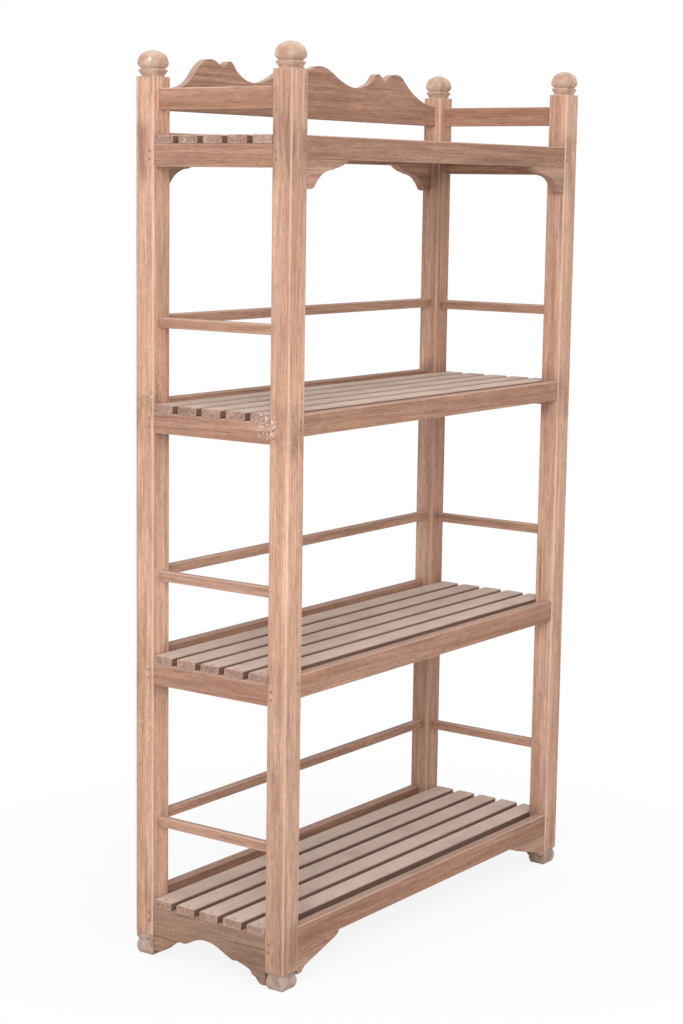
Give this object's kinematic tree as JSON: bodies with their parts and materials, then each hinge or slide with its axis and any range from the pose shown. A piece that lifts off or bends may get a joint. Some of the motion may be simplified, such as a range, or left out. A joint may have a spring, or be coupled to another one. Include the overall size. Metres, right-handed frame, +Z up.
{
  "type": "tiered shelf",
  "caption": "Tall free-standing slatted teak shelf with square posts, turned-looking finials and feet, thin guard rails, corner brackets and a carved crest board along the back.",
  "frame": {"origin": "middle of the footprint, on the floor under the four feet", "axes": "+Z up, +X along the width to the right as seen from the open front, +Y from the open front to the back with the crest"},
  "size_m": [1.074, 0.384, 1.85],
  "materials": {
    "post_teak": "weathered, matt",
    "rail_teak": "weathered, matt",
    "slat_teak": "weathered grey, matt",
    "carved_teak": "weathered, matt",
    "peg_wood": "dark end grain, matt",
    "nail_steel": "darkened, dull"
  },
  "bodies": {
    "root": {"back_left_post": "post_teak", "back_right_post": "post_teak", "crest_board": "carved_teak", "front_left_post": "post_teak", "front_right_post": "post_teak", "low_back_brackets": "carved_teak", "low_front_brackets": "carved_teak", "slat_nails": "nail_steel", "tenon_pegs": "peg_wood", "tier_four_back_rail": "rail_teak", "tier_four_front_rail": "rail_teak", "tier_four_left_rail": "rail_teak", "tier_four_right_rail": "rail_teak", "tier_four_slat_five": "slat_teak", "tier_four_slat_four": "slat_teak", "tier_four_slat_one": "slat_teak", "tier_four_slat_three": "slat_teak", "tier_four_slat_two": "slat_teak", "tier_one_back_guard": "rail_teak", "tier_one_back_rail": "rail_teak", "tier_one_front_rail": "rail_teak", "tier_one_left_end_board": "carved_teak", "tier_one_left_guard": "rail_teak", "tier_one_right_end_board": "carved_teak", "tier_one_right_guard": "rail_teak", "tier_one_slat_five": "slat_teak", "tier_one_slat_four": "slat_teak", "tier_one_slat_one": "slat_teak", "tier_one_slat_three": "slat_teak", "tier_one_slat_two": "slat_teak", "tier_three_back_guard": "rail_teak", "tier_three_back_rail": "rail_teak", "tier_three_front_rail": "rail_teak", "tier_three_left_guard": "rail_teak", "tier_three_left_rail": "rail_teak", "tier_three_right_guard": "rail_teak", "tier_three_right_rail": "rail_teak", "tier_three_slat_five": "slat_teak", "tier_three_slat_four": "slat_teak", "tier_three_slat_one": "slat_teak", "tier_three_slat_three": "slat_teak", "tier_three_slat_two": "slat_teak", "tier_two_back_guard": "rail_teak", "tier_two_back_rail": "rail_teak", "tier_two_front_rail": "rail_teak", "tier_two_left_guard": "rail_teak", "tier_two_left_rail": "rail_teak", "tier_two_right_guard": "rail_teak", "tier_two_right_rail": "rail_teak", "tier_two_slat_five": "slat_teak", "tier_two_slat_four": "slat_teak", "tier_two_slat_one": "slat_teak", "tier_two_slat_three": "slat_teak", "tier_two_slat_two": "slat_teak", "top_back_left_bracket": "carved_teak", "top_back_right_bracket": "carved_teak", "top_front_left_bracket": "carved_teak", "top_front_right_bracket": "carved_teak", "top_left_rail": "rail_teak", "top_right_rail": "rail_teak"}
  },
  "joints": []
}
